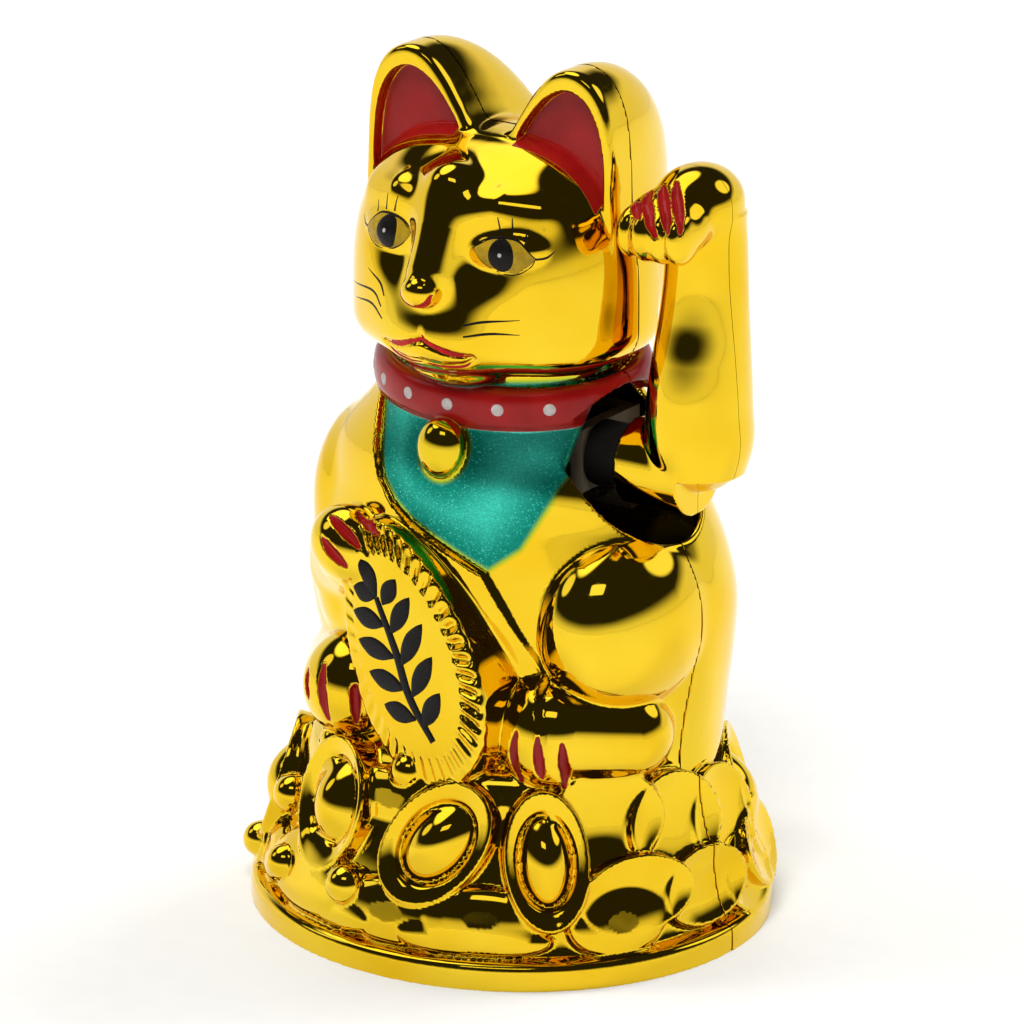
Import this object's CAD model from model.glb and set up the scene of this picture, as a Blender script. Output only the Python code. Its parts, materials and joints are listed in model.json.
import json
from itertools import product

import bpy
import numpy as np
from mathutils import Euler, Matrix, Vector


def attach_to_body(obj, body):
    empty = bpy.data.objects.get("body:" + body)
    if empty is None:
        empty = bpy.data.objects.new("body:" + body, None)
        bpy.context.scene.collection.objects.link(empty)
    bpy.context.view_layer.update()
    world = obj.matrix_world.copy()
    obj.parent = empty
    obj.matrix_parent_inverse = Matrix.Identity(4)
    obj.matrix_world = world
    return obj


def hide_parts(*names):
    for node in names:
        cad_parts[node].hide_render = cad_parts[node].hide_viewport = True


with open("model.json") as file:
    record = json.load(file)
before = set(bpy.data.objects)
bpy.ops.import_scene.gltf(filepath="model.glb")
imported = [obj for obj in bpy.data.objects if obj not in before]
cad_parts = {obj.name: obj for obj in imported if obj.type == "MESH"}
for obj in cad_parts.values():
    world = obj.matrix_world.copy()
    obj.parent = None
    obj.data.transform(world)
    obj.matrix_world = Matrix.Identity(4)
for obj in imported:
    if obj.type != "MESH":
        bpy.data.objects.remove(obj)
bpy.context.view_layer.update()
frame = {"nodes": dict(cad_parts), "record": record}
F32 = np.float32

# ---- solid modelling by distance fields, in millimetres


def vec(*values):
    return np.array(values, F32)


def smin(a, b, k):
    h = np.maximum(k - np.abs(a - b), 0) / k
    return np.minimum(a, b) - h * h * h * (k / 6)


def smax(a, b, k):
    return -smin(-a, -b, k)


def ease(x):
    x = np.clip(x, 0, 1)
    return x * x * (3 - 2 * x)


def oval_reach(x, y, a, b):
    """How far points lie outside an oval with half axes a and b, and rho, which is 1 on its edge."""
    rho = np.sqrt((x / a) ** 2 + (y / b) ** 2)
    length = np.sqrt(x**2 + y**2)
    return length - length / np.maximum(rho, 1e-3), rho


def turned(rx=0, ry=0, rz=0):
    """A rotation matrix, turning about X, then Y, then Z, in degrees."""
    return np.array(Euler(tuple(np.radians([rx, ry, rz]))).to_matrix(), F32)


def ellipsoid(c, r, rot=None):
    c, r = vec(*c), vec(*r)

    def f(p):
        q = p - c
        if rot is not None:
            q = q @ rot
        k0 = np.sqrt(((q / r) ** 2).sum(1))
        k1 = np.sqrt(((q / (r * r)) ** 2).sum(1)) + 1e-9
        return k0 * (k0 - 1) / k1

    m = float(max(r))
    return f, c - m, c + m


def bone(a, b, ra, rb):
    """A rod with round ends and a radius that changes evenly along it."""
    a, b = vec(*a), vec(*b)

    def f(p):
        ab, ap = b - a, p - a
        t = np.clip(ap @ ab / (ab @ ab), 0, 1)
        return np.sqrt(((ap - t[:, None] * ab) ** 2).sum(1)) - (ra + (rb - ra) * t)

    m = max(ra, rb)
    return f, np.minimum(a, b) - m, np.maximum(a, b) + m


def trail(points, radii):
    """Rods in a row through the points."""
    rods = [bone(points[i], points[i + 1], radii[i], radii[i + 1]) for i in range(len(points) - 1)]

    def f(p):
        return np.min([rod[0](p) for rod in rods], axis=0)

    return f, np.min([rod[1] for rod in rods], axis=0), np.max([rod[2] for rod in rods], axis=0)


class Profile:
    """Level oval sections (z, half width, half depth, centre's y), joined by a smooth curve."""

    def __init__(self, rows):
        rows = np.array(rows, float)
        z = rows[:, 0]
        self.z = np.linspace(z[0], z[-1], 600)
        self.cols = []
        for v in rows[:, 1:].T:
            d = np.gradient(v, z)
            k = np.clip(np.searchsorted(z, self.z) - 1, 0, len(z) - 2)
            h = z[k + 1] - z[k]
            t = (self.z - z[k]) / h
            curve = (
                (2 * t**3 - 3 * t**2 + 1) * v[k] + (t**3 - 2 * t**2 + t) * h * d[k]
                + (3 * t**2 - 2 * t**3) * v[k + 1] + (t**3 - t**2) * h * d[k + 1]
            )
            self.cols.append(curve)
        self.slope = np.gradient(self.cols[0], self.z)

    def __call__(self, p):
        z = p[:, 2]
        a, b, yc = (np.interp(z, self.z, c).astype(F32) for c in self.cols)
        slope = np.interp(z, self.z, self.slope).astype(F32)
        side, rho = oval_reach(p[:, 0], p[:, 1] - yc, a, b)
        side = np.where(rho < 0.05, -np.minimum(a, b), side) / np.sqrt(1 + slope * slope)
        ends = np.maximum(z - self.z[-1], self.z[0] - z)
        return np.maximum(side, ends)


class Form:
    """A solid built in steps that add, cut or lift, each acting only near its own box."""

    def __init__(self, base):
        self.base = base
        self.steps = []

    def add(self, shape, k=1, mode="add"):
        f, lo, hi = shape
        self.steps.append((mode, f, np.asarray(lo, F32), np.asarray(hi, F32), k))

    def __call__(self, p, reach=1.5):
        d = self.base(p).astype(F32)
        for mode, f, lo, hi, k in self.steps:
            m = k + reach
            idx = np.flatnonzero(((p > lo - m) & (p < hi + m)).all(1))
            if not idx.size:
                continue
            e = f(p[idx])
            if mode == "add":
                d[idx] = smin(d[idx], e, k)
            elif mode == "cut":
                d[idx] = smax(d[idx], -e, k)
            else:
                d[idx] -= e
        return d


def polygon(points, p2):
    """Signed distance to a closed outline in the plane."""
    pts = np.array(points, F32)
    d = np.full(len(p2), 1e9, F32)
    inside = np.zeros(len(p2), bool)
    for i in range(len(pts)):
        a, b = pts[i], pts[(i + 1) % len(pts)]
        ab, ap = b - a, p2 - a
        t = np.clip(ap @ ab / (ab @ ab), 0, 1)
        d = np.minimum(d, ((ap - t[:, None] * ab) ** 2).sum(1))
        crosses = (a[1] > p2[:, 1]) != (b[1] > p2[:, 1])
        with np.errstate(divide="ignore", invalid="ignore"):
            x = a[0] + (p2[:, 1] - a[1]) * (b[0] - a[0]) / (b[1] - a[1])
        inside ^= crosses & (p2[:, 0] < x)
    d = np.sqrt(d)
    return np.where(inside, -d, d)


def spline(p0, p1, p2, p3, t):
    """Points between p1 and p2 on a smooth curve through all four."""
    square, cube = 2 * p0 - 5 * p1 + 4 * p2 - p3, 3 * p1 - p0 - 3 * p2 + p3
    return 0.5 * (2 * p1 + (p2 - p0) * t + square * t**2 + cube * t**3)


def rounded(points, count):
    """A closed outline through the points, as a smooth curve with count steps between two of them."""
    pts = np.array(points, float)
    t = np.arange(count)[:, None] / count
    following = [np.roll(pts, -i, axis=0) for i in (-1, 0, 1, 2)]
    return [q for corners in zip(*following) for q in spline(*corners, t)]


def gridded(outline, step=0.3):
    """A softened signed distance to a closed outline, read off a fine grid."""
    points = np.array(outline, float)
    low, high = points.min(0) - 12, points.max(0) + 12
    us, vs = np.arange(low[0], high[0], step), np.arange(low[1], high[1], step)
    places = np.stack(np.meshgrid(us, vs, indexing="ij"), -1).reshape(-1, 2).astype(F32)
    d = polygon(outline, places).reshape(len(us), len(vs))
    for _ in range(6):
        for axis in (0, 1):
            d = (np.roll(d, 1, axis) + 2 * d + np.roll(d, -1, axis)) / 4

    def f(p2):
        a = np.clip((p2[:, 0] - low[0]) / step, 1, len(us) - 2.001)
        b = np.clip((p2[:, 1] - low[1]) / step, 1, len(vs) - 2.001)
        i, j = a.astype(int), b.astype(int)
        a, b = a - i, b - j
        near = d[i, j] * (1 - b) + d[i, j + 1] * b
        far = d[i + 1, j] * (1 - b) + d[i + 1, j + 1] * b
        return (near * (1 - a) + far * a).astype(F32)

    return f


def smooth_path(points, count):
    """Points along a smooth open curve through the given ones."""
    pts = np.array(points, float)
    pts = np.concatenate([[2 * pts[0] - pts[1]], pts, [2 * pts[-1] - pts[-2]]])
    t = np.linspace(0, len(pts) - 3, count)
    k = np.minimum(t.astype(int), len(pts) - 4)
    t = (t - k)[:, None]
    return spline(pts[k], pts[k + 1], pts[k + 2], pts[k + 3], t)


# ---- the cat

SEAM_Y = -1
PIVOT_Z = 84

torso = Profile([
    (16, 37, 29.5, 2.5), (26, 36.3, 27.6, 4), (33, 36.2, 26, 5.4), (40, 37, 26.3, 5.3),
    (50, 38.6, 27.5, 4.6), (58, 39.2, 28, 4.1), (66, 37.4, 27.2, 3.9), (74, 34.4, 25.7, 3.2),
    (82, 31.5, 24, 2.3), (89, 25.2, 20.4, 1.4), (95, 21.6, 18, 0.9), (103, 20.8, 17.2, 0.6),
])
mound = Profile([
    (-2, 43.2, 40.6, 0), (3, 43, 40.4, 0), (6, 41.8, 39.2, 0), (12, 40.8, 38.2, 0), (19, 38.6, 36, 0.2),
    (26, 35.6, 32.6, 0.7), (32, 32.4, 29.2, 1.2), (37, 27, 23, 1.5),
])

EAR_HALF = [
    (24.6, 107), (25.2, 114), (25, 122), (24.7, 129), (24.4, 136), (23.4, 142.6), (20.8, 147.6), (16.8, 149.8),
    (12.8, 149), (9.2, 145.6), (6.2, 141.2), (3.6, 137.4), (0, 136.6),
]
EAR_HOLLOW = rounded([
    (5.6, 131), (5.6, 137), (8.2, 141.6), (11.6, 145.2), (15.4, 146.8), (19, 145.6), (21.6, 141.4),
    (22.7, 135.4), (22.7, 128), (21.6, 119), (12, 122),
], 6)


def head_and_ears():
    """The rear of the head and the ears: one outline drawn back from the face and rounded off behind."""

    def f(p):
        y = p[:, 1] + 1.7
        back = np.clip((y + 1) / 27.5, 0, 0.985)
        s = np.sqrt(1 - back**2.2)
        q = np.stack([np.abs(p[:, 0]) / (0.35 + 0.65 * s), 117 + (p[:, 2] - 117.5) / s], 1)
        d = outline(q) * (0.5 + 0.5 * s) * 0.92
        return smax(smax(d, -5.6 - y, 2.4), y - 26.4, 4)

    side = [(-4, 95.5), (8, 95.5), (16, 96.4), (22, 100)] + EAR_HALF[:-1] + [(0, 136.8), (-4, 136.8)]
    outline = gridded([tuple(q) for q in smooth_path(side, 160)])
    return f, vec(-29, -9, 93), vec(29, 27, 152)


def dome():
    """The face: a boxy dome in front of the ears, fullest low down."""
    c = vec(0, -0.7, 107.5)

    def f(p):
        q = p - c
        up = np.where(q[:, 2] > 0, F32(30.6), F32(9.6))
        x, y, z = np.abs(q[:, 0]) / 26.2, np.abs(q[:, 1]) / 24, np.abs(q[:, 2]) / up
        g = ((x**3.2 + z**3) ** (2.15 / 3.1) + y**2.15) ** (1 / 2.15)
        length = np.sqrt((q * q).sum(1))
        d = (length - length / np.maximum(g, 1e-3)) * 0.85
        return np.where(g < 0.2, -9, d)

    return f, vec(-27.5, -26, 96), vec(27.5, 4, 140)


def ear_hollow():
    def f(p):
        q = np.stack([np.abs(p[:, 0]), p[:, 2]], 1)
        d = polygon(EAR_HOLLOW, q)
        floor = p[:, 1] - (-5 + 0.05 * (p[:, 2] - 136))
        return smax(d, floor, 0.8)

    return f, vec(-25, -11, 117), vec(25, -3, 149)


COLLAR_Y, COLLAR_HALF, COLLAR_THICK, COLLAR_TALL = 0.6, (23.1, 18.4), 1.9, 3.5


def collar_height(y):
    """The height of the collar's middle, a little higher at the nape."""
    return 93.6 + 0.105 * (y + 18.5)


def collar():
    def f(p):
        out, _ = oval_reach(p[:, 0], p[:, 1] - COLLAR_Y, *COLLAR_HALF)
        q = np.stack([out / COLLAR_THICK, (p[:, 2] - collar_height(p[:, 1])) / COLLAR_TALL], 1)
        g = (np.abs(q[:, 0]) ** 2.4 + np.abs(q[:, 1]) ** 2.4) ** (1 / 2.4)
        return (g - 1) * COLLAR_THICK

    return f, vec(-26, -21, 88), vec(26, 21, 101)


def bell():
    return ellipsoid((0, -20.6, 86.5), (4.4, 3.8, 5.2))


class Frame:
    """A frame on a surface: origin c, outward normal w, and u turned from level by spin degrees."""

    def __init__(self, c, w, spin=0):
        self.c = np.array(c, float)
        self.w = np.array(w, float) / np.linalg.norm(w)
        u = np.cross([0, 0, 1], self.w)
        u /= np.linalg.norm(u)
        v = np.cross(self.w, u)
        s = np.radians(spin)
        self.u = np.cos(s) * u + np.sin(s) * v
        self.v = np.cross(self.w, self.u)
        self.m = np.stack([self.u, self.v, self.w], 1).astype(F32)

    def local(self, p):
        return (p - self.c.astype(F32)) @ self.m

    def world(self, u, v, w):
        return self.c + u * self.u + v * self.v + w * self.w


def puck(fr, a, b, profile, depth, edge):
    """A raised oval whose top follows profile(rho, u, v), where rho is 1 at its edge."""

    def f(p):
        q = fr.local(p)
        side, rho = oval_reach(q[:, 0], q[:, 1], a, b)
        top = (q[:, 2] - profile(rho, q[:, 0], q[:, 1])) * 0.8
        d = smax(side, top, edge)
        return np.maximum(d, -depth - q[:, 2])

    m = max(a, b) + 1
    corners = [fr.world(u, v, w) for u, v, w in product((-m, m), (-m, m), (-depth, 8))]
    return f, np.min(corners, axis=0), np.max(corners, axis=0)


def on_mound(azimuth, z, out=0):
    """The point on the mound at an azimuth from the front, and a normal that points out and a little up."""
    s, c = np.sin(np.radians(azimuth)), -np.cos(np.radians(azimuth))
    lo, hi = 10, 60
    for _ in range(40):
        mid = (lo + hi) / 2
        if mound(np.array([[mid * s, mid * c, z]], F32))[0] > 0:
            hi = mid
        else:
            lo = mid
    n = np.array([s / 43, c / 40.4, 0])
    n = n / np.linalg.norm(n) + np.array([0, 0, 0.32])
    n /= np.linalg.norm(n)
    return np.array([lo * s, lo * c, z]) + n * out, n


# ---- the casing's solid

SLEEVE_EDGE = [
    (-21.5, 97.5), (-17.5, 92), (-14.6, 86.6), (-11.8, 79.5), (-8.6, 75.9), (-4.6, 73.4), (2, 70.7),
    (10.3, 67.2), (14, 62), (17.4, 56.6), (20.2, 52), (22.6, 48.2), (25, 43), (28, 30),
]
SLEEVE_LIFT = 1.1
TABLET = Frame((-0.8, -24, 52), (-0.14, -1, 0.08), 29)
TABLET_HALF = (13.6, 23.4)
TABLET_RIBS = 44
TABLET_TAPER = 0.2


def sleeve():
    """The raised layer that carries the right arm and the tablet, with a crisp edge across the chest."""
    outline = SLEEVE_EDGE + [(28, 12), (-70, 12), (-70, 97.5)]

    def f(p):
        d = polygon(outline, p[:, [0, 2]])
        fade = ease((4 - p[:, 1]) / 14) * ease((98 - p[:, 2]) / 10)
        return (SLEEVE_LIFT * ease(-d / 0.9) * fade).astype(F32)

    return f, vec(-50, -40, 24), vec(28, 5, 98)


def tablet():
    """A convex egg-shaped plate, broad end down, with a fluted border."""
    a, b = TABLET_HALF

    def f(p):
        q = TABLET.local(p)
        u, v, w = q[:, 0] / (1 - TABLET_TAPER * np.clip(q[:, 1] / b, -1, 1)), q[:, 1], q[:, 2]
        side, rho = oval_reach(u, v, a, b)
        turn = np.arctan2(v / b, u / a)
        strong = 0.25 + 0.75 * ease((np.cos(turn - 0.5) + 0.15) / 0.5)
        border = ease((rho - 0.74) / 0.06) * (1 - 0.7 * ease((rho - 0.9) / 0.1))
        flute = 0.55 * strong * border * (np.cos(turn * TABLET_RIBS) - 0.4)
        top = (w - 5.2 - 1.2 * (1 - np.clip(rho, 0, 1.2) ** 2) - flute) * 0.8
        return np.maximum(smax(side, top, 1.4), -12 - w)

    return f, vec(-26, -36, 24), vec(28, -8, 80)


CLAWS = [
    ((20.2, -27.8, 42.5), (19.4, -25, 33.5)), ((24, -27.2, 42.2), (24, -26.3, 35.2)),
    ((26.6, -24.6, 41), (26, -22.8, 33)), ((-23.7, -25, 43.4), (-22.6, -26, 39.5)),
    ((-20, -26, 45.2), (-18.6, -27, 36.9)), ((-13, -28.2, 46.6), (-13.7, -26.5, 36.6)),
    ((-14.6, -24, 73.6), (-8.4, -27.2, 71.4)), ((-18.3, -27, 72.8), (-11.9, -27.8, 68.8)),
    ((-18.4, -29.2, 69.4), (-13.6, -29.5, 65.3)),
]
cat_claws, arm_claws = [], []


def score(solid, a, b):
    """Cuts a shallow groove along the surface from a to b and gives back its field, for the paint."""
    a, b = vec(*a), vec(*b)
    p = a + (b - a) * np.linspace(0, 1, 6, dtype=F32)[:, None]
    for _ in range(6):
        g = np.stack([solid(p + e) - solid(p - e) for e in np.eye(3, dtype=F32) * F32(0.05)], 1) / 0.1
        p = (p - g * (solid(p) / np.maximum((g * g).sum(1), 0.1))[:, None]).astype(F32)
    groove = trail([tuple(q) for q in p], [0.35, 0.75, 0.9, 0.9, 0.75, 0.35])
    solid.add(groove, 0.4, "cut")
    return groove[0]


def face(cat):
    """Brow, nose, muzzle, chin and the eyes' sockets."""
    cat.add(ellipsoid((0, -16.6, 106.4), (12, 10, 7.2)), 6)
    cat.add(ellipsoid((0, -16.4, 100), (8.4, 5.4, 3.3)), 2.2)
    for side, x in ((1, 11.6), (-1, 10.2)):
        cat.add(ellipsoid((side * (x - 3.2), -26.4, 121.6), (6, 4.6, 5), turned(0, 0, side * 14)), 7, "cut")
        cat.add(ellipsoid((side * x, -17.2, 121.9), (7.2, 4.6, 4), turned(0, -side * 4, side * 16)), 0.9)
    cat.add(trail([(0, -17.6, 131), (0, -20.8, 124.5), (0, -24.4, 118)], [3.8, 3.4, 3.2]), 7)
    for s in (1, -1):
        brow = [(s * 4.4, -17.4, 127.6), (s * 9.6, -17.2, 128.6), (s * 15.5, -14.4, 128)]
        cat.add(trail(brow, [2.2, 2.2, 1.6]), 7)
    cat.add(ellipsoid((0, -26.8, 115.2), (3.3, 2.9, 2.7)), 1.8)
    cat.add(bone((0, -27.8, 112), (0, -26.9, 107), 0.45, 0.35), 0.8, "cut")
    for s in (-1, 1):
        upper = [(0, -26.8, 106.9), (s * 2.6, -26.7, 105.9), (s * 5.4, -25.8, 105), (s * 8.6, -24.2, 104.8)]
        lower = [(0, -26.2, 102.9), (s * 3.6, -25.6, 102.4), (s * 7, -24.2, 103), (s * 8.8, -23.8, 104.4)]
        cat.add(trail(upper, [0.4, 0.5, 0.5, 0.2]), 1.2, "cut")
        cat.add(trail(lower, [0.3, 0.45, 0.45, 0.2]), 1.2, "cut")


FOOT_HALF = (46, 43.4)


def ledge():
    """The smooth rolled rim around the foot of the base."""

    def f(p):
        out, _ = oval_reach(p[:, 0], p[:, 1], *FOOT_HALF)
        return smax(out, p[:, 2] - 4.6, 2.6)

    a, b = FOOT_HALF
    return f, vec(-a, -b, -5), vec(a, b, 6)


def heap(cat):
    """Ingots, coins and pearls around the mound."""
    ingots = [
        (-23.8, 23.6, 9, 11.4, 8), (13.7, 22, 8.4, 12, -38), (42.9, 20.2, 7.2, 12, 3),
        (-62, 19.5, 8, 11.6, 24), (118, 20, 8, 12, -18), (150, 20.6, 7.8, 12.2, 14),
        (-176, 20.4, 8, 12.2, -10), (-142, 20.6, 7.8, 12, 22), (-106, 19.8, 8, 12, -14),
    ]
    swells = [
        (27, 11, 10, 5.4), (3, 10, 10.5, 5.6), (-27, 11.5, 11, 7), (-49, 10, 8, 5.6),
        (60, 9.5, 9, 6), (25, 7.6, 13, 3.4), (-20, 7.8, 13, 3.6), (-4, 27, 12, 5),
        (30, 29.5, 12, 4.4), (-44, 27, 12, 6), (-72, 9, 9, 5.6), (118, 8.6, 10, 4.6),
        (150, 8.6, 10, 4.6), (180, 8.4, 10, 4.6), (-142, 8.6, 10, 4.6), (-106, 9, 10, 5),
    ]
    coins = [
        (60, 25.5, 10.6, 8.6, 1.4, 0.1, 0.14), (65, 13.6, 10.6, 6.6, 1.4, 0.1, 0.14),
        (80, 22.5, 9.4, 9.4, 1.7, 0.16, 0.1), (85, 11.6, 9.6, 6.8, 1.7, 0.12, 0.14),
        (98, 20, 9.2, 9.6, 1.8, 0.14, 0.06), (103, 9.6, 8.6, 7, 2, 0.08, -0.06),
        (112, 12, 8.4, 7.6, 3.3, 0.06, 0), (-62, 9.2, 8.6, 6, 2.2, -0.04, 0),
        (-88, 14, 9, 8.8, 2.6, -0.08, 0), (-80, 24, 8, 7, 0.7, -0.04, 0.05),
        (-124, 12, 8.6, 8.2, 1.9, 0.05, 0), (168, 11.5, 8.6, 8, 1.9, -0.05, 0),
        (134, 11.5, 8.6, 8, 1.9, 0.05, 0), (-160, 12, 8.6, 8, 1.9, 0.05, 0),
    ]
    for azimuth, z, a, b in swells:
        cat.add(puck(Frame(*on_mound(azimuth, z)), a, b, swell_top, 8, 1.2), 1.2)
    for azimuth, z, a, b, *shape in coins:
        cat.add(puck(Frame(*on_mound(azimuth, z)), a, b, coin_top(*shape), 8, 1.1), 1)
    for azimuth, z, a, b, spin in ingots:
        cat.add(puck(Frame(*on_mound(azimuth, z, 0.3), spin), a, b, ingot_top, 9, 1.3), 1)
    pearls = [
        (-0.8, 31.4, 3.4, 1.4), (-10.6, 12.4, 3.5, 1.6), (-60, 7.6, 3.2, 2.9), (-35.8, 10.6, 3.2, 2),
        (-47.3, 20, 3.4, 1.2),
        (-40, 31, 3, 0.6), (-124, 26, 3.4, 0.8), (134, 26.5, 3.4, 0.8), (168, 26.5, 3.4, 0.8),
        (-160, 27, 3.4, 0.8),
    ]
    for azimuth, z, r, out in pearls:
        cat.add(ellipsoid(on_mound(azimuth, z, out)[0], (r, r, r)), 0.6)


def swell_top(rho, u, v):
    return 2.4 * np.sqrt(np.clip(1.1 - rho**2, 0, 1))


def coin_top(height, lean_u, lean_v):
    """A leaning coin or fold of cloth with a shallow dish and a crisp edge."""

    def h(rho, u, v):
        return height + lean_u * u + lean_v * v + 1.1 * (np.clip(rho, 0, 1.1) ** 3 - 0.4)

    return h


def ingot_top(rho, u, v):
    """A dished brim with a large egg in the middle."""
    brim = 1.7 + 1.3 * np.clip((rho - 0.5) / 0.5, 0, 1.2) ** 2
    egg = 4.4 * (1 - (rho / 0.7) ** 2)
    hollow = 1.5 * np.exp(-(((rho - 0.6) / 0.085) ** 2))
    return smax(egg.astype(F32), (brim - hollow).astype(F32), 0.6)


def build_cat():
    cat = Form(lambda p: smin(torso(p), mound(p), 1.2))
    cat.add(ledge(), 0.4)
    cat.add(head_and_ears(), 2)
    cat.add(ear_hollow(), 0.6, "cut")
    cat.add(dome(), 0.7)
    face(cat)
    cat.add(ellipsoid((26.2, -4, 57.6), (13.2, 19.4, 16.8)), 0.7)
    cat.add(ellipsoid((-21.4, -4, 57), (10.6, 15.4, 15.5)), 0.7)
    cat.add(trail([(21.4, -18.6, 40.4), (29, -9, 38.6)], [9.1, 8.4]), 1.4)
    cat.add(trail([(-18.4, -18.8, 40.4), (-26, -9, 38.6)], [8.7, 7.8]), 1.4)
    cat.add(sleeve(), 0, "lift")
    cat.add(ellipsoid((-27, -3.6, 70.2), (8.2, 11.4, 14.8)), 3)
    cat.add(trail([(-25.6, -8, 61.5), (-23, -15, 60.5), (-17.4, -21.5, 64.5)], [6.8, 6.8, 6]), 3)
    cat.add(tablet(), 0.9)
    cat.add(ellipsoid((-16.6, -23.6, 67.2), (7.4, 6.2, 6.4), turned(0, 35, 0)), 1.2)
    cat_claws.extend([score(cat, a, b) for a, b in CLAWS])
    cat.add(collar(), 0.4)
    cat.add(bell(), 0.4)
    heap(cat)
    return cat


def build_cavity():
    """The hollow inside the casing, as the sized model has it."""
    low = Profile([(-6, 41.6, 39, 0), (5, 41, 38.4, 0), (12, 40.2, 37.6, 0), (19, 38.4, 35.8, 0.2),
                   (26, 35.8, 32.4, 0.8), (31, 32.6, 28.4, 1.4)])
    middle = Profile([(24, 35, 29, 1.5), (40, 35.5, 27.5, 2.5), (50, 37, 27, 3.5), (58, 37.4, 26.5, 4),
                      (66, 36, 25.5, 4), (76, 32.6, 23.5, 3.2), (84, 29, 21.5, 2.2), (91, 24.5, 18.8, 1.2),
                      (98, 20.8, 17, 0.8)])
    high = Profile([(93, 18, 15.5, 0.8), (98, 20.6, 18, 0.5), (104, 22.6, 21, 0.2), (112, 23.4, 22.8, 0),
                    (121, 23.6, 23, 0), (129, 22.6, 21.4, 0.4), (134, 18, 16.5, 1), (136, 10, 9, 1.3)])

    def f(p):
        out, _ = oval_reach(p[:, 0], p[:, 1], FOOT_HALF[0] - 2, FOOT_HALF[1] - 2)
        foot = np.maximum(out, p[:, 2] - 3.4)
        return np.minimum(np.minimum(foot, low(p)), np.minimum(middle(p), high(p)))

    return f


def cylinder(axis, radius, low, high, centre):
    """A round bar along one axis; centre gives its other two coordinates in order."""
    others = [i for i in range(3) if i != axis]
    c = np.array(centre, F32)

    def f(p):
        side = np.sqrt(((p[:, others] - c) ** 2).sum(1)) - radius
        return np.maximum(side, np.maximum(low - p[:, axis], p[:, axis] - high))

    return f


HOLE_RADIUS = 13
HUB_RADIUS = 7.4
# The walls are thicker in the coarse version, whose wide grid cells would otherwise tear them.
WALL = 1.25
ARM_WALL = 1.4
BOSS_RADIUS, PILOT_RADIUS = 3.4, 1.15
COVER_SCREWS = [(x, y) for x in (-24, 24) for y in (-31.5, 31.5)]
BRACKET_SCREWS = [(-13, 80), (12.5, 74.8)]
cat = build_cat()
cavity = build_cavity()
shoulder_hole = cylinder(0, HOLE_RADIUS, 20, 60, (SEAM_Y, PIVOT_Z))
bosses = [cylinder(2, BOSS_RADIUS, 3.2, 20, at) for at in COVER_SCREWS]
bosses += [cylinder(1, BOSS_RADIUS, 11.5, 32, at) for at in BRACKET_SCREWS]
pilots = [cylinder(2, PILOT_RADIUS, -5, 16, at) for at in COVER_SCREWS]
pilots += [cylinder(1, PILOT_RADIUS, 9, 19.5, at) for at in BRACKET_SCREWS]


def casing(p):
    """The whole hollow casing, before it is parted at the seam."""
    outer = cat(p)
    hollow = np.maximum(cavity(p), outer + WALL)
    for boss in bosses:
        hollow = np.maximum(hollow, -boss(p))
    d = np.maximum(outer, -hollow)
    d = smax(d, -shoulder_hole(p), 0.9)
    for pilot in pilots:
        d = np.maximum(d, -np.maximum(pilot(p), outer + 0.9))
    return d


# ---- the swinging arm's solid

ARM_X = 37.3
arm_rod = Profile(
    [(84, 7.6, 8.4, 0.3), (90, 8.6, 9.8, 0.3), (97, 8.4, 9.8, 0.4), (104, 7.9, 8.9, 0.9),
     (111, 7.4, 7.6, 1.6), (118, 7, 6.9, 2), (124, 6.8, 6.8, 1.9), (128, 6.6, 6.8, 1.5)]
)
ARM_CLAWS = [
    ((31.4, -10.6, 131.6), (34.3, -13.7, 130)), ((31.9, -6.9, 132.9), (38.2, -15.1, 128)),
    ((33.8, -6.2, 133.9), (40, -14.4, 128.8)), ((36.1, -5.9, 134.7), (41.8, -13.3, 128.8)),
]


def build_arm():
    shift = vec(ARM_X, 0, 0)
    arm = Form(lambda p: arm_rod(p - shift))
    arm.add(ellipsoid((ARM_X, 0.5, 89.4), (8.6, 8.9, 9)), 2)
    arm.add((cylinder(0, HUB_RADIUS, 26, 38, (SEAM_Y, PIVOT_Z)), vec(26, -9, 76), vec(39, 7, 92)), 1)
    arm.add(ellipsoid((ARM_X - 0.4, 0.2, 129.9), (7.2, 8.4, 6.6)), 2.5)
    arm.add(ellipsoid((ARM_X - 1.6, -7.4, 127.8), (7.2, 8, 5.7), turned(14, 0, 0)), 1.8)
    for i, x in enumerate((-6, -2.9, 0.2, 3.2)):
        arm.add(ellipsoid((ARM_X + x, -11.4 + 0.5 * abs(i - 1.5), 126.8), (2.2, 4.2, 4.4), turned(20, 0, 0)), 1)
    arm_claws.extend([score(arm, a, b) for a, b in ARM_CLAWS])
    return arm


arm_solid = build_arm()
arm_core = Profile(
    [(80, 6, 6.2, 0.5), (90, 7.9, 7.9, 0.7), (98, 7.4, 7.6, 1), (107, 6.6, 6.9, 1.2),
     (116, 5.8, 6.1, 1.5), (126, 5.2, 5.6, 1.6), (134, 5, 5.4, 1)]
)
hub = cylinder(0, HUB_RADIUS, 26, 36.2, (SEAM_Y, PIVOT_Z))
PEG_HALF = 3.45
PEG_LOW = vec(25, SEAM_Y - PEG_HALF, PIVOT_Z - PEG_HALF)
PEG_HIGH = vec(35.1, SEAM_Y + PEG_HALF, PIVOT_Z + PEG_HALF)


def arm_shell(p):
    """The hollow arm, open where the connector's square peg goes in."""
    outer = arm_solid(p)
    hollow = np.maximum(arm_core(p - vec(ARM_X, 0, 0)), outer + ARM_WALL)
    hollow = np.maximum(hollow, -hub(p))
    peg_hole = np.maximum(PEG_LOW - p, p - PEG_HIGH).max(1)
    return np.maximum(np.maximum(outer, -hollow), -peg_hole)


# ---- meshes

FINE = 0.48


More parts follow.
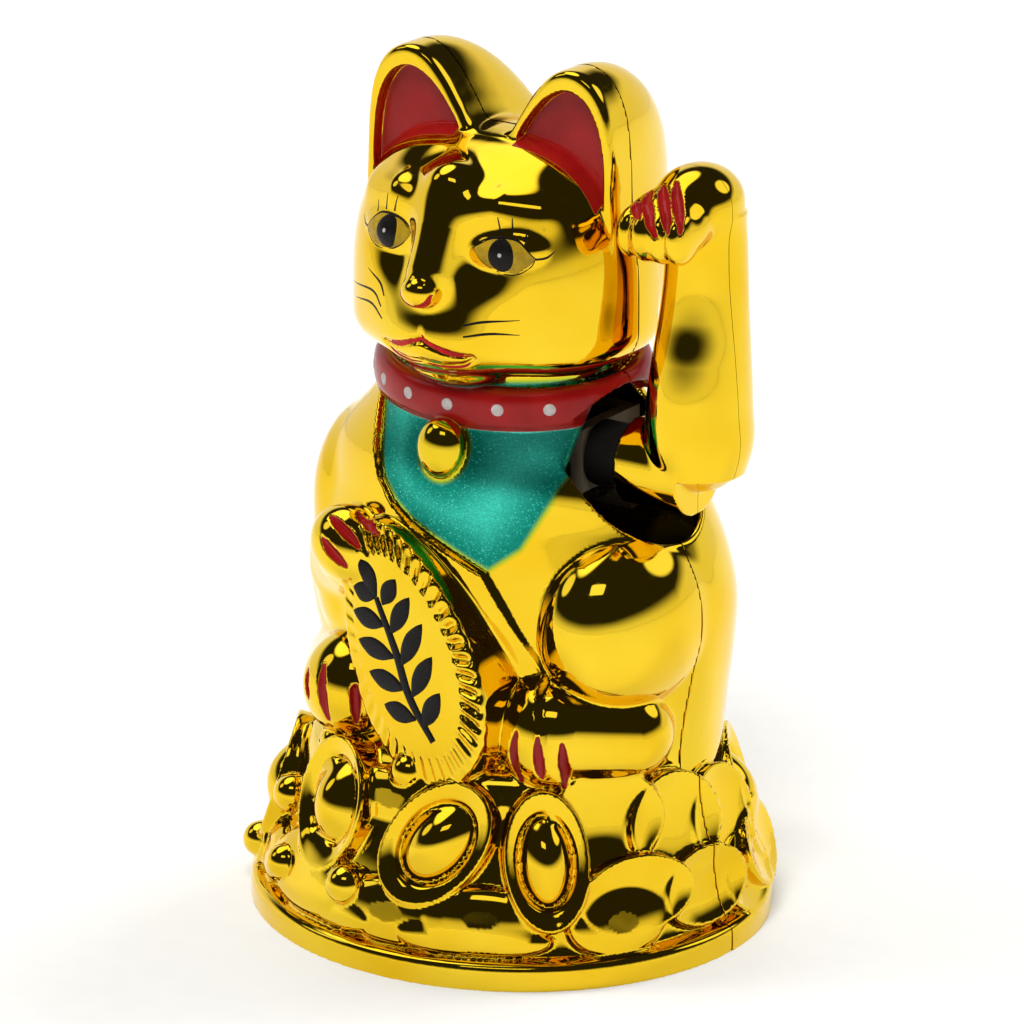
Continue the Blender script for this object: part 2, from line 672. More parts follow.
def odd(values, h):
    """The coordinates, with one more after them where they are even in number."""
    values = list(values)
    return values if len(values) % 2 else values + [values[-1] + h]


def steps(low, high, h):
    """An odd number of grid coordinates from low to high or just beyond."""
    return np.array(odd(np.linspace(low, high, max(2, int(np.ceil((high - low) / h))) + 1), h), F32)


def in_parts(field, p, size=400000):
    """The field's values, worked out a part at a time."""
    parts = [field(p[i:i + size]) for i in range(0, len(p), size)]
    return np.concatenate(parts) if parts else np.zeros(0, F32)


def lattice(axes):
    return np.stack(np.meshgrid(*axes, indexing="ij"), -1).reshape(-1, 3).astype(F32)


def sampled(field, axes):
    """The field on the grid, exact near its surface and coarse elsewhere."""
    shape = [len(a) for a in axes]
    coarse_axes = [a[::2] for a in axes]
    coarse = in_parts(field, lattice(coarse_axes)).reshape([len(a) for a in coarse_axes])
    h = float(max(np.diff(a).max() for a in axes)) * 2
    near = np.abs(coarse) < 0.87 * h * 1.35 + 0.12
    v = coarse.repeat(2, 0).repeat(2, 1).repeat(2, 2)[: shape[0], : shape[1], : shape[2]].copy()
    want = np.zeros(shape, bool)
    at = np.argwhere(near) * 2
    for offset in product((-1, 0, 1), repeat=3):
        n = at + offset
        n = n[((n >= 0) & (n < shape)).all(1)]
        want[tuple(n.T)] = True
    want[::2, ::2, ::2] = False
    at = np.argwhere(want)
    p = np.stack([axes[i][at[:, i]] for i in range(3)], 1).astype(F32)
    v[tuple(at.T)] = in_parts(field, p)
    return v


def slope(field, p, e=0.06):
    """The field's gradient, by differences along a tetrahedron's corners."""
    g = np.zeros((len(p), 3))
    for s in ((1, -1, -1), (-1, -1, 1), (-1, 1, -1), (1, 1, 1)):
        s = np.array(s, F32)
        g += s * in_parts(field, p + s * F32(e))[:, None]
    return g / (4 * e)


CORNERS = list(product((0, 1), repeat=3))


def first_points(v, axes, cells):
    """For each cell, the mean of the places where the surface crosses its edges."""
    total, hits = np.zeros((len(cells), 3)), np.zeros(len(cells))
    for corner in CORNERS:
        for axis in range(3):
            if corner[axis]:
                continue
            near = cells + corner
            far = near.copy()
            far[:, axis] += 1
            va, vb = v[tuple(near.T)], v[tuple(far.T)]
            cross = (va < 0) != (vb < 0)
            t = np.where(cross, va / np.where(cross, va - vb, 1), 0)[:, None]
            pa, pb = (np.stack([axes[i][n[:, i]] for i in range(3)], 1) for n in (near, far))
            total += np.where(cross[:, None], pa + t * (pb - pa), 0)
            hits += cross
    return (total / hits[:, None]).astype(F32)


def hold_flat(p, cells, inside, axes, flats):
    """Puts the points beside each flat onto it. Gives the axes they may move along and which are settled."""
    free = np.ones((len(p), 3), bool)
    settled = np.zeros(len(p), bool)
    for axis, place, side in flats:
        k = int(np.searchsorted(axes[axis], place)) - 1
        on = cells[:, axis] == k
        p[on, axis] = place
        free[on, axis] = False
        for corner in CORNERS:
            if not corner[axis]:
                n = cells + corner
                n[:, axis] = k if side > 0 else k + 1
                on &= inside[tuple(n.T)]
        settled |= on
    return free, settled


def settle(field, p, free, moving, reach):
    """Moves points onto the surface in three steps, each no longer than reach."""
    for _ in range(3):
        q = p[moving]
        g = slope(field, q) * free[moving]
        move = in_parts(field, q)[:, None] * g / np.maximum((g * g).sum(1)[:, None], 0.05)
        length = np.sqrt((move**2).sum(1))[:, None]
        move *= np.minimum(1, reach / np.maximum(length, 1e-6))
        p[moving] = (q - move).astype(F32)


def four_sided(inside, index):
    """A face around each grid line that the surface crosses, turned outwards."""
    faces = []
    for axis, u, w in ((0, 1, 2), (1, 2, 0), (2, 0, 1)):
        a, b = (inside[(slice(None),) * axis + (part,)] for part in (slice(0, -1), slice(1, None)))
        at = np.argwhere(a != b)
        at = at[(at[:, u] > 0) & (at[:, w] > 0) & (at[:, u] < index.shape[u]) & (at[:, w] < index.shape[w])]
        quad = []
        for du, dw in ((1, 1), (0, 1), (0, 0), (1, 0)):
            n = at.copy()
            n[:, u] -= du
            n[:, w] -= dw
            quad.append(index[tuple(n.T)])
        quad = np.stack(quad, 1)
        flip = ~a[tuple(at.T)]
        quad[flip] = quad[flip][:, ::-1]
        faces.append(quad)
    faces = np.concatenate(faces)
    return faces[(faces >= 0).all(1)]


def surface(field, axes, flats):
    """Vertices, four-sided faces and normals of the surface where field is 0.

    Each of flats is (axis, place, side): a plane that cuts the solid off on that side.
    """
    v = sampled(field, axes)
    for axis, place, side in flats:
        shape = [1, 1, 1]
        shape[axis] = -1
        v = np.maximum(v, ((axes[axis] - place) * side).reshape(shape).astype(F32))
    inside = v < 0
    count = np.zeros([n - 1 for n in v.shape], np.int8)
    for corner in CORNERS:
        count += inside[tuple(slice(c, c + n) for c, n in zip(corner, count.shape))]
    cells = np.argwhere((count > 0) & (count < 8))
    index = np.full(count.shape, -1, np.int32)
    index[tuple(cells.T)] = np.arange(len(cells))
    p = first_points(v, axes, cells)
    free, settled = hold_flat(p, cells, inside, axes, flats)
    settle(field, p, free, np.flatnonzero(~settled), 0.4 * float(min(np.diff(a).min() for a in axes)))
    faces = four_sided(inside, index)
    normals = slope(field, p)
    normals /= np.maximum(np.sqrt((normals**2).sum(1))[:, None], 1e-6)
    corner_normals = normals[faces]
    for axis, _, side in flats:
        corner_normals[~free[faces][:, :, axis].any(1)] = side * np.eye(3)[axis]
    return p, faces, corner_normals


def placed(name, data):
    """A new object in the scene."""
    item = bpy.data.objects.new(name, data)
    bpy.context.scene.collection.objects.link(item)
    return item


def mesh_piece(name, p, faces, corner_normals, layers=None):
    """A mesh from vertices in millimetres, with its own corner normals and named values at its vertices."""
    mesh = bpy.data.meshes.new(name)
    mesh.vertices.add(len(p))
    mesh.vertices.foreach_set("co", (p / 1000).astype(F32).ravel())
    mesh.loops.add(faces.size)
    mesh.loops.foreach_set("vertex_index", faces.astype(np.int32).ravel())
    mesh.polygons.add(len(faces))
    width = faces.shape[1]
    mesh.polygons.foreach_set("loop_start", np.arange(0, faces.size, width, dtype=np.int32))
    mesh.polygons.foreach_set("loop_total", np.full(len(faces), width, np.int32))
    for key, values in (layers or {}).items():
        layer = mesh.attributes.new(key, "FLOAT", "POINT")
        layer.data.foreach_set("value", np.asarray(values, F32))
    mesh.update(calc_edges=True)
    mesh.shade_smooth()
    if corner_normals is not None:
        mesh.normals_split_custom_set(corner_normals.reshape(-1, 3).astype(np.float64))
    return placed(name, mesh)


def attach(piece, body, node, material):
    piece.data.materials.clear()
    piece.data.materials.append(material)
    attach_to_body(piece, body)
    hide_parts(node)


# ---- thin painted pieces that lie on a surface


def landed(fr, u, v):
    """The height above the frame's plane at which each (u, v) meets the cat, from 7 mm out inwards."""
    s = np.full((len(u), 1), 7.0)
    for _ in range(90):
        d = cat(fr.world(u, v, s).astype(F32))[:, None]
        s -= np.where(d > 0.004, np.clip(d * 0.75, 0.003, 3), 0)
    return s


def strip(fr, path, widths, lift, along, across):
    """Vertices and faces of a thin band on the surface; widths are half widths at the path's points."""
    rows = smooth_path([(*q, w) for q, w in zip(path, widths)], along)
    line, w = rows[:, :2], np.maximum(rows[:, 2], 0.015)
    tangent = np.gradient(line, axis=0)
    tangent /= np.sqrt((tangent**2).sum(1))[:, None] + 1e-9
    side = np.stack([-tangent[:, 1], tangent[:, 0]], 1)
    x = np.sin(np.linspace(-np.pi / 2, np.pi / 2, across))
    uv = line[:, None] + side[:, None] * w[:, None, None] * x[None, :, None]
    u, v = uv[..., 0].reshape(-1, 1), uv[..., 1].reshape(-1, 1)
    s = landed(fr, u, v)
    crown = np.sqrt(np.clip(1 - x**2, 0, 1)) * np.minimum(1, w[:, None] / 0.5)
    height = -0.03 + lift * (0.35 + 0.65 * crown)
    points = [fr.world(u, v, s + height.reshape(-1, 1)), fr.world(u, v, s - 0.3)]
    n = along * across
    grid = np.arange(n).reshape(along, across)
    quads = []

    def wall(a, b, c, d):
        quads.append(np.stack([a.ravel(), b.ravel(), c.ravel(), d.ravel()], 1))

    wall(grid[:-1, :-1], grid[1:, :-1], grid[1:, 1:], grid[:-1, 1:])
    wall(grid[:-1, :-1] + n, grid[:-1, 1:] + n, grid[1:, 1:] + n, grid[1:, :-1] + n)
    rim = np.concatenate([grid[:, 0], grid[-1, 1:], grid[-2::-1, -1], grid[0, -2:0:-1]])
    after = np.roll(rim, -1)
    wall(rim, rim + n, after + n, after)
    return np.concatenate(points), np.concatenate(quads)


def oval(fr, u, v, a, b, turn, lift):
    """A thin oval with half axes a and b, its long axis turned from u by the given degrees."""
    c, s = np.cos(np.radians(turn)), np.sin(np.radians(turn))
    t = np.sin(np.linspace(-np.pi / 2, np.pi / 2, 13))
    path = [(u + a * k * c, v + a * k * s) for k in t]
    return strip(fr, path, [b * np.sqrt(max(0, 1 - k * k)) for k in t], lift, 25, 11)


def joined(name, strips, material):
    """One piece of all the strips, on the front of the casing."""
    points, faces, base = [], [], 0
    for p, f in strips:
        points.append(p)
        faces.append(f + base)
        base += len(p)
    piece = mesh_piece(name, np.concatenate(points), np.concatenate(faces), None)
    piece.data.set_sharp_from_angle(angle=np.radians(55))
    attach(piece, "casing", "front_shell", material)


# ---- materials


class Nodes:
    """A node tree, with a short method for each kind of node that the scene needs."""

    def __init__(self, tree):
        self.tree = tree

    def put(self, target, value):
        if isinstance(value, bpy.types.NodeSocket):
            self.tree.links.new(value, target)
        elif value is not None:
            target.default_value = value

    def node(self, kind, *inputs, **settings):
        """A node with its first inputs and its settings filled in."""
        item = self.tree.nodes.new("ShaderNode" + kind)
        for key, value in settings.items():
            setattr(item, key, value)
        for i, value in enumerate(inputs):
            self.put(item.inputs[i], value)
        return item

    def math(self, op, a, b=0):
        return self.node("Math", a, b, operation=op).outputs[0]

    def dot(self, a, axis):
        return self.node("VectorMath", a, tuple(axis), operation="DOT_PRODUCT").outputs["Value"]

    def spread(self, value, a, b, c=0, d=1, kind="LINEAR"):
        """Maps value from a..b to c..d."""
        return self.node("MapRange", value, a, b, c, d, interpolation_type=kind).outputs["Result"]

    def eased(self, value, a, b, c=0, d=1):
        return self.spread(value, a, b, c, d, "SMOOTHSTEP")

    def mix(self, factor, a, b, mode="MIX"):
        n = self.node("Mix", factor, data_type="RGBA", blend_type=mode)
        for i, q in ((6, a), (7, b)):
            self.put(n.inputs[i], q if isinstance(q, bpy.types.NodeSocket) else (*q, 1))
        return n.outputs[2]


class Look(Nodes):
    """A material made of nodes around one Principled shader."""

    def __init__(self, name, roughness, metallic=0, specular=0.5):
        self.material = bpy.data.materials.new(name)
        self.material.use_nodes = True
        super().__init__(self.material.node_tree)
        self.shader = self.tree.nodes["Principled BSDF"]
        self.shader.inputs["Roughness"].default_value = roughness
        self.shader.inputs["Metallic"].default_value = metallic
        self.shader.inputs["Specular IOR Level"].default_value = specular

    def place(self):
        return self.node("TexCoord").outputs["Object"]

    def noise(self, scale, detail=3, roughness=0.5, place=None):
        return self.node("TexNoise", place or self.place(), None, scale, detail, roughness).outputs["Fac"]

    def value(self, name):
        return self.node("Attribute", attribute_name=name).outputs["Fac"]

    def shade(self, **sockets):
        """Links sockets to the shader's inputs; an underline stands for a space."""
        for key, socket in sockets.items():
            self.tree.links.new(socket, self.shader.inputs[key.replace("_", " ")])

    def bump(self, height, distance):
        n = self.node("Bump", 1, distance)
        self.put(n.inputs["Height"], height)
        self.shade(Normal=n.outputs["Normal"])


GOLD = (0.85, 0.585, 0.03)
GOLD_DEEP = (0.82, 0.515, 0.015)
RED = (0.24, 0.004, 0.004)
TEAL = (0.003, 0.245, 0.18)
TEAL_SHEEN = (0.045, 0.56, 0.44)
GOLD_FRINGE = (0.3, 0.46, 0.02)
TEAL_FLAKE = (0.1, 0.72, 0.58)
RED_LIGHT = (0.31, 0.008, 0.007)
UNPLATED = (0.006, 0.005, 0.004)


def gilded(name, painted=True):
    """Bright gold plating, with lacquer colours where the named values at the vertices say so."""
    look = Look(name, 0.05, 1, 0.22)
    place = look.place()
    tone = look.mix(look.spread(look.noise(45, 3, 0.5, place), 0.35, 0.65), GOLD, GOLD_DEEP)
    rough = look.spread(look.noise(700, 4, 0.6, place), 0.45, 0.8, 0.035, 0.11)
    look.bump(look.noise(110, 2, 0.5, place), 0.00004)
    if painted:
        bib, red, inside = look.value("bib"), look.value("red"), look.value("inside")
        fringe, teal = look.eased(bib, 0.8, -0.3), look.eased(bib, 0.2, -0.8)
        lacquer, within = look.eased(red, 0.07, -0.07), look.eased(inside, 0.1, -0.1)
        red_tone = look.mix(look.spread(look.noise(160, 3, 0.5, place), 0.3, 0.7), RED, RED_LIGHT)
        layers = ((fringe, GOLD_FRINGE), (teal, flaked(look, bib, place)), (lacquer, red_tone), (within, UNPLATED))
        for factor, colour in layers:
            tone = look.mix(factor, tone, colour)
        metal = look.spread(teal, 0, 1, 1, 0.8)
        for cover in (lacquer, within):
            metal = look.math("MULTIPLY", metal, look.spread(cover, 0, 1, 1, 0))
        look.shade(Metallic=metal)
        for factor, grey in ((teal, 0.32), (lacquer, 0.22), (within, 0.7)):
            rough = look.mix(factor, rough, (grey, grey, grey))
    look.shade(Base_Color=tone, Roughness=rough)
    return look.material


def flaked(look, bib, place):
    """Teal lacquer full of small bright flakes, deeper in colour towards the edges of the bib."""
    flakes = look.node("TexVoronoi", place, None, 5200)
    split = look.node("SeparateColor", flakes.outputs["Color"])
    sparkle = look.spread(split.outputs[0], 0, 1, 0.78, 1.15)
    satin = look.mix(look.eased(bib, -8.5, -0.5, 1, 0), TEAL, TEAL_SHEEN)
    bright = look.mix(look.spread(split.outputs[1], 0.9, 0.99, 0, 0.8), satin, TEAL_FLAKE)
    return look.mix(1, bright, look.node("CombineColor", sparkle, sparkle, sparkle).outputs[0], "MULTIPLY")


def finished(look, colour, roughness, tone, rough, grain):
    """Slight unevenness of tone and roughness and a fine grain, as paint, plastic and metal have.

    tone: noise scale, detail, contrast, darkest shade. rough: noise scale, least, most. grain: scale, depth.
    """
    scale, detail, contrast, dark = tone
    darker = tuple(dark * c for c in colour)
    fleck = look.spread(look.noise(scale, detail), contrast, 1 - contrast)
    look.shade(Base_Color=look.mix(fleck, darker, colour))
    scale, low, high = rough
    look.shade(Roughness=look.spread(look.noise(scale), 0.3, 0.7, roughness * low, roughness * high))
    look.bump(look.noise(grain[0], 2), grain[1])
    return look.material


def enamel(name, colour, roughness):
    """Opaque paint, a little uneven as a brush or a pad leaves it."""
    look = Look(name, roughness, specular=0.12)
    return finished(look, colour, roughness, (900, 3, 0.35, 0.72), (1500, 0.8, 1.3), (1200, 0.00003))


def moulded(name, colour, roughness=0.45, metallic=0, grain=2500, depth=0.00002, fading=0.12, specular=0.5):
    """Moulded plastic or machined metal."""
    look = Look(name, roughness, metallic, specular)
    return finished(look, colour, roughness, (180, 4, 0.3, 1 - fading), (600, 0.85, 1.15), (grain, depth))


# ---- the pieces

BIB_OUTLINE = SLEEVE_EDGE[:8] + [(15.6, 71.4), (19.2, 78.4), (22.2, 85), (24.6, 91), (27, 99)]
collar_field = collar()[0]
bell_field = bell()[0]
tablet_field = tablet()[0]


FAR = 9
CLAW_EDGE = 0.12


def lacquered(claws, p, red):
    """The signed distance to the red once the claws are added to it."""
    return np.minimum.reduce([red] + [claw(p) - CLAW_EDGE for claw in claws])


def paints(p):
    """Signed distances to the edges of the red, the bib's teal and the unplated inside, negative within."""
    red = collar_field(p) - 0.16
    mirror = np.stack([np.abs(p[:, 0]), p[:, 1], p[:, 2]], 1)
    near = (p[:, 2] > 115) & (p[:, 1] < 2)
    ear = np.full(len(p), FAR, F32)
    ear[near] = np.maximum(polygon(EAR_HOLLOW, mirror[near][:, [0, 2]]) + 0.3, -8.6 - p[near, 1])
    red = lacquered(cat_claws, p, np.minimum(red, ear))
    bib = np.full(len(p), FAR, F32)
    chest = (p[:, 1] < 0) & (p[:, 2] > 60) & (p[:, 2] < 101)
    q = p[chest]
    cloth = polygon(BIB_OUTLINE, q[:, [0, 2]]) + 0.1
    bib[chest] = np.maximum.reduce([cloth, 0.5 - bell_field(q), 0.5 - tablet_field(q)])
    return {"red": red, "bib": bib, "inside": cat(p) + 1.6}


gold = gilded("gold_plated")
CASING_GAP, ARM_GAP = 0.08, 0.05


def parted(low, high, place, side, h):
    """Grid coordinates along Y for the half on one side of the seam, with the seam midway between two."""
    if side > 0:
        return np.array(odd(list(steps(low, place - h / 2, h)) + [place + h / 2], h), F32)
    ys = [place - h / 2] + list(steps(place + h / 2, high, h))
    return np.array(ys if len(ys) % 2 else [place - 1.5 * h] + ys, F32)


def casing_half(name, node, side, h):
    """One half of the casing: side is +1 for the front, which ends at the seam, and -1 for the rear."""
    place = SEAM_Y - side * CASING_GAP
    zs = odd([-h / 2] + list(steps(h / 2, 151.5, h)), h)
    axes = (steps(-47, 47, h), parted(-45, 45, place, side, h), np.array(zs, F32))
    p, faces, normals = surface(casing, axes, [(1, place, side), (2, 0, -1)])
    piece = mesh_piece(name, p, faces, normals, paints(p))
    attach(piece, "casing", node, gold)


def arm_half(name, node, side, h):
    place = SEAM_Y - side * ARM_GAP
    axes = (steps(24, 49, h), parted(-20, 13, place, side, h), steps(74, 142, h))
    p, faces, normals = surface(arm_shell, axes, [(1, place, side)])
    far = np.full(len(p), FAR, F32)
    layers = {"red": lacquered(arm_claws, p, far), "bib": far, "inside": arm_solid(p) + 1.2}
    piece = mesh_piece(name, p, faces, normals, layers)
    attach(piece, "arm", node, gold)


casing_half("casing_front", "front_shell", 1, FINE)
casing_half("casing_rear", "rear_shell", -1, FINE * 1.3)
arm_half("arm_front", "arm_front_half", 1, FINE * 0.9)
arm_half("arm_rear", "arm_rear_half", -1, FINE * 0.9)

black = enamel("black_enamel", (0.008, 0.007, 0.006), 0.3)
eye_gold = enamel("eye_gold", (0.4, 0.25, 0.012), 0.32)
pale = enamel("pale_grey", (0.52, 0.47, 0.46), 0.4)
red_paint = enamel("red_enamel", (0.5, 0.012, 0.01), 0.3)

strips = {"eyes": [], "pupils": [], "glints": [], "lines": [], "lips": [], "dots": [], "sprig": []}


def draw(kind, fr, path, widths, lift=0.1, along=28, across=5):
    strips[kind].append(strip(fr, path, widths, lift, along, across))


def paint_eye(s, shift, rise):
    """The eye on one side: s is 1 for the cat's left. Shift and rise move it along and up the face."""
    eye = Frame((s * 12, -17.5, 121.7), (s * 0.3, -1, 0.05))

    def turn(path):
        return [(s * (u + shift), v + rise) for u, v in path]

    def line(path, widths, along, lift=0.12):
        draw("lines", eye, turn(path), widths, lift, along)

    draw("eyes", eye, turn([(-5.8, 0.8), (-3.4, 0.3), (-0.4, 0), (2.4, -0.2), (4.9, -0.3)]),
         [0.05, 2.1, 2.9, 2.5, 0.1], 0.08, 44, 13)
    (u0, v0), = turn([(-0.7, 0.1)])
    strips["pupils"].append(oval(eye, u0, v0, 2.8, 2.2, 90, 0.3))
    strips["glints"].append(oval(eye, u0 - 0.1, v0 + 0.2, 0.46, 0.42, 90, 0.42))
    line([(-5.8, 0.8), (-4.2, 2.2), (-1.3, 2.95), (2.1, 2.6), (4.9, -0.2)], [0.08, 0.14, 0.18, 0.16, 0.1], 40)
    line([(-5.8, 0.8), (-4.2, -1.2), (-1.6, -2.7), (1.6, -3), (4, -1.7), (4.9, -0.2)],
         [0.05, 0.09, 0.11, 0.11, 0.1, 0.06], 40)
    line([(4.9, -0.3), (6.4, -0.1), (7.6, 0.9)], [0.18, 0.2, 0.05], 16, 0.1)
    for lash in ([(-1.2, 3.5), (-1.8, 6.2)], [(0.8, 3.4), (0.6, 6.2)], [(2.9, 2.6), (3.3, 4.5)]):
        line(lash, [0.2, 0.08], 12, 0.1)


paint_eye(1, 0, 0)
paint_eye(-1, -2.2, 0.6)
face_front = Frame((0, -24, 107), (0, -1, 0))
for whisker in (
    [(7.3, 3.1), (10.4, 3.9), (15.7, 4.4), (20.3, 3.8)], [(7.5, 1.3), (11.5, 2), (15.7, 1.9), (18.8, 1.2)],
    [(-9.4, 5.1), (-10.8, 7), (-14.3, 8.6), (-20.2, 8)], [(-9.9, 3.2), (-12.8, 5.2), (-20, 4.4)],
    [(-9.3, 1.4), (-13, 3), (-18.6, 2.2)],
):
    draw("lines", face_front, whisker, [0.16, 0.22, 0.05], 0.1, 30)
nose_line = [(-3.1, 8.4), (-2.2, 6.8), (0, 5.8), (2.2, 6.8), (3.1, 8.4)]
draw("lips", face_front, nose_line, [0.12, 0.36, 0.42, 0.36, 0.12], 0.18, 30, 7)
for s in (-1, 1):
    upper = [(0, 0), (s * 2.4, -0.9), (s * 5.2, -1.9), (s * 8.4, -2.2)]
    lower = [(s * 0.6, -4.3), (s * 3.6, -4.6), (s * 6.8, -4.2), (s * 8.6, -2.7)]
    draw("lips", face_front, upper, [0.3, 0.4, 0.42, 0.1], 0.26, 34, 7)
    draw("lips", face_front, lower, [0.08, 0.2, 0.24, 0.08], 0.2, 30, 7)
for azimuth in (-38, -19, 1, 22, 43, -57):
    sa, ca = np.sin(np.radians(azimuth)), np.cos(np.radians(azimuth))
    y = COLLAR_Y - COLLAR_HALF[1] * ca
    spot = Frame((22 * sa, y + 1.5 * ca, collar_height(y)), (sa, -ca, 0.1))
    strips["dots"].append(oval(spot, 0, 0, 1.05, 1, 0, 0.1))


def leaf(u0, v0, length, degrees, width):
    """A slightly bent leaf that starts at (u0, v0) on the tablet."""
    c, s = length * np.cos(np.radians(degrees)), length * np.sin(np.radians(degrees))
    path = [(u0 + k * c - 0.12 * k * (1 - k) * s, v0 + k * s) for k in (0, 0.3, 0.6, 0.85, 1)]
    return strip(TABLET, path, [0.2, width * 0.85, width, width * 0.55, 0.05], 0.3, 30, 9)


draw("sprig", TABLET, [(0.2, -15.5), (-1.4, -7), (-1, 1), (-1.6, 10.5)], [0.6, 0.85, 0.8, 0.5], 0.3, 50, 7)
for v0, length in ((-12.6, 7.4), (-7.2, 8.6), (-1.6, 8.8), (4, 7.6), (9, 5.4)):
    strips["sprig"].append(leaf(-0.6, v0, length, 36, 1.7))
    strips["sprig"].append(leaf(-1.8, v0 + 1.6, length, 144, 1.7))
strips["sprig"].append(leaf(-1.6, 10.6, 6.8, 92, 1.6))

for name, kind, paint in (
    ("eye_whites", "eyes", eye_gold), ("pupils", "pupils", black), ("eye_glints", "glints", pale),
    ("lashes_and_whiskers", "lines", black), ("lip_lines", "lips", red_paint), ("collar_dots", "dots", pale),
    ("tablet_sprig", "sprig", black),
):
    joined(name, strips[kind], paint)

# ---- materials of the parts taken over from the sized model

looks = {"gold_cover": gilded("gold_cover", False)}
for name, colour, *settings in (
    ("dark_plastic", (0.008, 0.007, 0.006), 0.6, 0, 2500, 0.00002, 0.12, 0.12),
    ("pale_plastic", (0.18, 0.145, 0.1), 0.6),
    ("steel", (0.56, 0.56, 0.54), 0.3, 1, 1800, 0.00001),
    ("magnet", (0.09, 0.09, 0.095), 0.5, 0.6, 3000),
    ("plated_contact", (0.72, 0.7, 0.64), 0.22, 1, 1500, 0.00001),
    ("board", (0.34, 0.2, 0.07), 0.45, 0, 900),
    ("bobbin", (0.78, 0.77, 0.72), 0.45),
    ("copper", (0.72, 0.28, 0.12), 0.25, 1, 4000, 0.00005),
    ("component_black", (0.02, 0.02, 0.02), 0.4),
    ("resistor_tan", (0.6, 0.44, 0.24), 0.4),
    ("cell_jacket", (0.1, 0.105, 0.12), 0.25, 0.5, 1200),
    ("red_insulation", (0.5, 0.012, 0.01), 0.4),
    ("black_insulation", (0.02, 0.02, 0.02), 0.4),
):
    looks[name] = moulded(name, colour, *settings)
slots = {row["node"]: row["material_slot"] for row in frame["record"]["subparts"]}
for node, piece in frame["nodes"].items():
    if slots[node] in looks:
        for entry in piece.material_slots:
            entry.material = looks[slots[node]]

# ---- floor, lights and camera

CAMERA_AZIMUTH, CAMERA_ELEVATION, CAMERA_DISTANCE = 34, 19, 1


def towards(azimuth, elevation):
    a, e = np.radians(azimuth), np.radians(elevation)
    return Vector((np.sin(a) * np.cos(e), -np.cos(a) * np.cos(e), np.sin(e)))


FLOOR_CELLS, FLOOR_HALF = 24, 3
floor_mesh = bpy.data.meshes.new("floor")
row = FLOOR_CELLS + 1
line = np.linspace(-FLOOR_HALF, FLOOR_HALF, row)
starts = [j * row + i for j in range(FLOOR_CELLS) for i in range(FLOOR_CELLS)]
quads = [(k, k + 1, k + row + 1, k + row) for k in starts]
floor_mesh.from_pydata([(x, y, 0) for y in line for x in line], [], quads)
floor = placed("floor", floor_mesh)
floor.data.materials.append(moulded("floor_card", (0.9, 0.895, 0.88), 0.6, 0, 400, 0.00001, 0.02))


def aim(item, target, azimuth, elevation, distance):
    """Puts a lamp or the camera at a distance from the target, facing it."""
    away = towards(azimuth, elevation)
    item.location = target + away * distance
    item.rotation_euler = (-away).to_track_quat("-Z", "Y").to_euler()


LAMP_DISTANCE = 4


def lamp(name, azimuth, elevation, width, height, power, shape="RECTANGLE"):
    data = bpy.data.lights.new(name, "AREA")
    data.shape = shape
    data.size, data.size_y = width, height
    data.energy = power
    item = placed(name, data)
    item.visible_glossy = False
    aim(item, Vector((0, 0, 0.07)), azimuth, elevation, LAMP_DISTANCE)


lamp("key_softbox", 20, 54, 1.9, 1.4, 108)
lamp("top_light", 157, 50, 2, 2, 66, "DISK")
lamp("side_softbox", -64, 35, 1.1, 1.7, 46)

world = bpy.data.worlds.new("studio")
bpy.context.scene.world = world
world.use_nodes = True
world.node_tree.nodes.clear()
sky = Nodes(world.node_tree)
direction = sky.node("TexCoord").outputs["Generated"]

# Azimuth, elevation, half width and half height (tangents of angles), strength, and whether it is round.
GLOWS = [
    (21.5, 53, 0.2, 0.11, 1.3, False), (136, 38, 0.27, 0.27, 1.25, True), (-64, 35, 0.17, 0.2, 1.1, True),
    (-100, 66, 0.5, 0.34, 1.7, True),
]
BACKDROP, ROOM = 0.95, 0.021


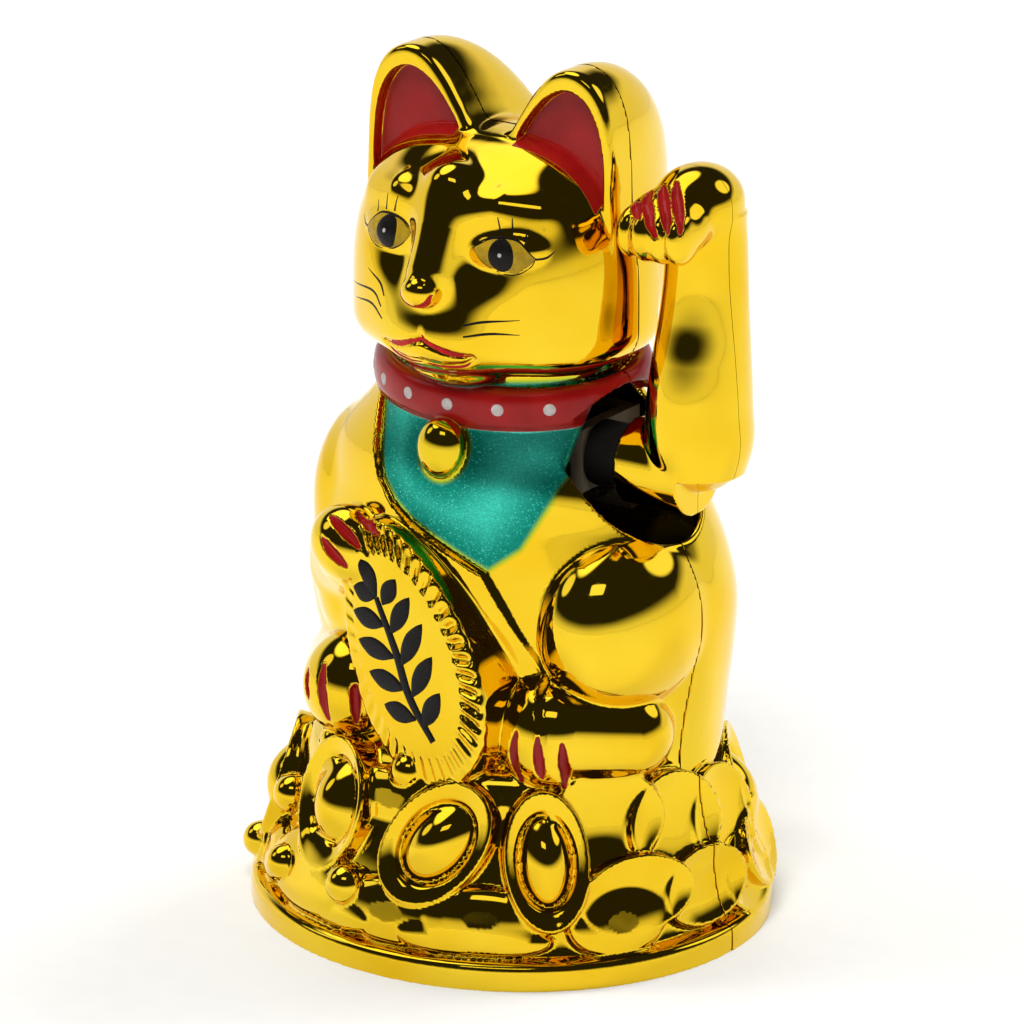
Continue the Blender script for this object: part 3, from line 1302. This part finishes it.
def backdrop():
    """The white cloth behind the cat, whose upper edge falls lower towards the camera's side."""
    behind = sky.math("MULTIPLY", sky.dot(direction, towards(CAMERA_AZIMUTH, 0)), -0.56)
    height = sky.node("SeparateXYZ", direction).outputs["Z"]
    over = sky.math("SUBTRACT", sky.math("MAXIMUM", behind, 0.05), height)
    return sky.math("MULTIPLY", sky.eased(over, -0.19, 0.05), BACKDROP)


def glow(azimuth, elevation, half_width, half_height, strength, is_round):
    """A light's soft-edged face, an oval or a rectangle."""
    middle = towards(azimuth, elevation)
    level = Vector((-middle.y, middle.x, 0)).normalized()
    ahead = sky.dot(direction, middle)
    depth = sky.math("MAXIMUM", ahead, 0.001)
    sides = []
    for axis, half_size in ((level, half_width), (middle.cross(level), half_height)):
        ratio = sky.math("MULTIPLY", sky.math("DIVIDE", sky.dot(direction, axis), depth), 1 / half_size)
        sides.append(sky.math("POWER", sky.math("ABSOLUTE", ratio), 2 if is_round else 8))
    face = sky.eased(sky.math("ADD", *sides), 1.25, 0.7, 0, strength)
    return sky.math("MULTIPLY", face, sky.math("GREATER_THAN", ahead, 0))


level_light = sky.math("MAXIMUM", backdrop(), ROOM)
for row in GLOWS:
    level_light = sky.math("MAXIMUM", level_light, glow(*row))
warm_grey = sky.node("CombineColor", level_light, level_light, sky.math("MULTIPLY", level_light, 0.97))
room = sky.node("Background", warm_grey.outputs[0], 1)
plain = sky.node("Background", (0.97, 0.97, 0.96, 1), 1)
seen = sky.node("LightPath").outputs["Is Camera Ray"]
sky.node("OutputWorld", sky.node("MixShader", seen, room.outputs[0], plain.outputs[0]).outputs[0])

bpy.context.scene.view_settings.view_transform = "Standard"
bpy.context.scene.view_settings.look = "None"

camera_data = bpy.data.cameras.new("camera")
camera_data.sensor_width = 36
camera_data.lens = 207.07
camera_data.clip_start = 0.05
camera_data.clip_end = 20
camera = placed("camera", camera_data)
right = Vector((np.cos(np.radians(CAMERA_AZIMUTH)), np.sin(np.radians(CAMERA_AZIMUTH)), 0))
aim(camera, right * 0.00015 + Vector((0, 0, 0.0694)), CAMERA_AZIMUTH, CAMERA_ELEVATION, CAMERA_DISTANCE)
bpy.context.scene.camera = camera
